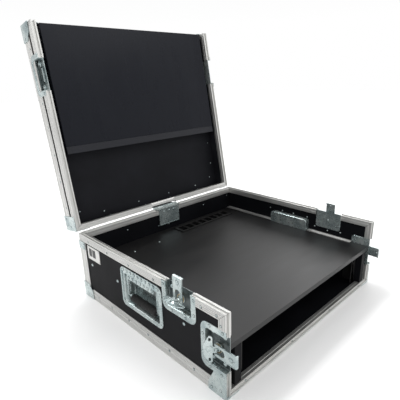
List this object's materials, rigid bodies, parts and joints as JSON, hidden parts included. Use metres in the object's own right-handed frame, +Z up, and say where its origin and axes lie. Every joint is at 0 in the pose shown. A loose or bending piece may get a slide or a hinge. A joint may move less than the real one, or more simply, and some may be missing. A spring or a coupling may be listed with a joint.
{
  "type": "equipment rack case",
  "caption": "Shallow road case with a 19-inch rack bay under a work surface, and a hinged lid that carries a flat monitor; twist latches and sprung side handles.",
  "frame": {"origin": "on the resting plane, below the centre of the base", "axes": "+X to the right seen from the open front, -Y out of the front, +Z up; the hinge is along the rear edge"},
  "size_m": [0.6214, 0.6996, 0.6932],
  "materials": {
    "laminate": "black phenolic laminate on plywood, fine mottled texture, satin",
    "aluminium": "mill-finish aluminium extrusion with fine lengthwise ridges, lightly scuffed",
    "zinc_plate": "pressed steel, bright zinc plate with a blue-green cast and rub marks",
    "work_surface": "smooth black laminate board, semi-gloss",
    "black_board": "black laminate board, satin",
    "black_steel": "black powder coat",
    "grip_rubber": "matt black moulded rubber over a steel bail",
    "monitor_shell": "dark grey moulded plastic",
    "monitor_screen": "anti-glare screen, switched off"
  },
  "bodies": {
    "base": {"floor_panel": "laminate", "rear_wall": "laminate", "left_wall": "laminate", "right_wall": "laminate", "base_angle_frame": "aluminium", "base_rim_rear": "aluminium", "front_sill": "aluminium", "base_rim_front_left": "aluminium", "base_rim_front_right": "aluminium", "surface_strip_front_left": "aluminium", "surface_strip_front_right": "aluminium", "surface_strip_rear_left": "aluminium", "surface_strip_rear_right": "aluminium", "ball_corner_left": "zinc_plate", "ball_corner_right": "zinc_plate", "front_bracket_left": "zinc_plate", "front_bracket_right": "zinc_plate", "handle_dish_left": "zinc_plate", "handle_dish_right": "zinc_plate", "hinge_base_leaf": "zinc_plate", "lid_latch_left_dish": "zinc_plate", "lid_latch_right_dish": "zinc_plate", "front_latch_left_dish": "zinc_plate", "front_latch_right_dish": "zinc_plate", "work_surface": "work_surface", "rack_post_left": "black_board", "rack_post_right": "black_board", "rack_rail_left": "black_steel", "rack_rail_right": "black_steel", "vent_strip": "black_steel"},
    "lid": {"lid_panel": "laminate", "lid_rear_wall": "laminate", "lid_wall_left": "laminate", "lid_wall_right": "laminate", "lid_rim_rear": "aluminium", "lid_rim_front": "aluminium", "lid_angle_frame": "aluminium", "hinge_lid_leaf": "zinc_plate", "lid_front_corner_left": "zinc_plate", "lid_front_corner_right": "zinc_plate", "lid_rear_corner_left": "zinc_plate", "lid_rear_corner_right": "zinc_plate", "lid_keeper_left": "zinc_plate", "lid_keeper_right": "zinc_plate", "monitor_housing": "monitor_shell", "monitor_screen": "monitor_screen"},
    "lid_latch_left_claw": {"lid_latch_left_claw": "zinc_plate"},
    "lid_latch_left_spindle": {"lid_latch_left_spindle": "zinc_plate"},
    "lid_latch_left_wing": {"lid_latch_left_wing": "zinc_plate"},
    "lid_latch_right_claw": {"lid_latch_right_claw": "zinc_plate"},
    "lid_latch_right_spindle": {"lid_latch_right_spindle": "zinc_plate"},
    "lid_latch_right_wing": {"lid_latch_right_wing": "zinc_plate"},
    "front_latch_left_claw": {"front_latch_left_claw": "zinc_plate"},
    "front_latch_left_spindle": {"front_latch_left_spindle": "zinc_plate"},
    "front_latch_left_wing": {"front_latch_left_wing": "zinc_plate"},
    "front_latch_right_claw": {"front_latch_right_claw": "zinc_plate"},
    "front_latch_right_spindle": {"front_latch_right_spindle": "zinc_plate"},
    "front_latch_right_wing": {"front_latch_right_wing": "zinc_plate"},
    "handle_grip_left": {"handle_grip_left": "grip_rubber"},
    "handle_grip_right": {"handle_grip_right": "grip_rubber"}
  },
  "joints": [
    {"name": "lid_hinge", "type": "hinge", "parent": "base", "child": "lid", "pos_m": [0, 0.263, 0.18], "axis": [1, 0, 0], "range_deg": [0, 100.5]},
    {"name": "handle_left_swing", "type": "hinge", "parent": "base", "child": "handle_grip_left", "pos_m": [-0.281, -0.01, 0.134], "axis": [0, 1, 0], "range_deg": [0, 90], "stiffness_Nm_per_rad": 0.08},
    {"name": "lid_latch_left_turn", "type": "hinge", "parent": "base", "child": "lid_latch_left_spindle", "pos_m": [-0.284, -0.135, 0.154], "axis": [-1, 0, 0], "range_deg": [0, 180]},
    {"name": "lid_latch_left_pull", "type": "slide", "parent": "base", "child": "lid_latch_left_claw", "axis": [0.3802, 0, -0.9249], "range_m": [0, 0.00974]},
    {"name": "lid_latch_left_fold", "type": "hinge", "parent": "lid_latch_left_spindle", "child": "lid_latch_left_wing", "pos_m": [-0.2877, -0.135, 0.154], "axis": [0, -1, 0], "range_deg": [0, 90]},
    {"name": "front_latch_left_turn", "type": "hinge", "parent": "base", "child": "front_latch_left_spindle", "pos_m": [-0.284, -0.233, 0.095], "axis": [-1, 0, 0], "range_deg": [0, 180]},
    {"name": "front_latch_left_pull", "type": "slide", "parent": "base", "child": "front_latch_left_claw", "axis": [0.3802, 0.9249, 0], "range_m": [0, 0.00974]},
    {"name": "front_latch_left_fold", "type": "hinge", "parent": "front_latch_left_spindle", "child": "front_latch_left_wing", "pos_m": [-0.2877, -0.233, 0.095], "axis": [0, 0, -1], "range_deg": [-50, 40]},
    {"name": "handle_right_swing", "type": "hinge", "parent": "base", "child": "handle_grip_right", "pos_m": [0.281, -0.01, 0.134], "axis": [0, -1, 0], "range_deg": [0, 90], "stiffness_Nm_per_rad": 0.08},
    {"name": "lid_latch_right_turn", "type": "hinge", "parent": "base", "child": "lid_latch_right_spindle", "pos_m": [0.284, -0.135, 0.154], "axis": [1, 0, 0], "range_deg": [0, 180]},
    {"name": "lid_latch_right_pull", "type": "slide", "parent": "base", "child": "lid_latch_right_claw", "axis": [-0.3802, 0, -0.9249], "range_m": [0, 0.00974]},
    {"name": "lid_latch_right_fold", "type": "hinge", "parent": "lid_latch_right_spindle", "child": "lid_latch_right_wing", "pos_m": [0.2877, -0.135, 0.154], "axis": [0, 1, 0], "range_deg": [0, 90]},
    {"name": "front_latch_right_turn", "type": "hinge", "parent": "base", "child": "front_latch_right_spindle", "pos_m": [0.284, -0.233, 0.095], "axis": [1, 0, 0], "range_deg": [0, 180]},
    {"name": "front_latch_right_pull", "type": "slide", "parent": "base", "child": "front_latch_right_claw", "axis": [-0.3802, 0.9249, 0], "range_m": [0, 0.00974]},
    {"name": "front_latch_right_fold", "type": "hinge", "parent": "front_latch_right_spindle", "child": "front_latch_right_wing", "pos_m": [0.2877, -0.233, 0.095], "axis": [0, 0, 1], "range_deg": [0, 90]}
  ],
  "couplings": [
    {"joint": "lid_latch_left_pull", "follows": "lid_latch_left_turn", "m_per_rad": 0.0030974},
    {"joint": "front_latch_left_pull", "follows": "front_latch_left_turn", "m_per_rad": 0.0030974},
    {"joint": "lid_latch_right_pull", "follows": "lid_latch_right_turn", "m_per_rad": 0.0030974},
    {"joint": "front_latch_right_pull", "follows": "front_latch_right_turn", "m_per_rad": 0.0030974}
  ]
}
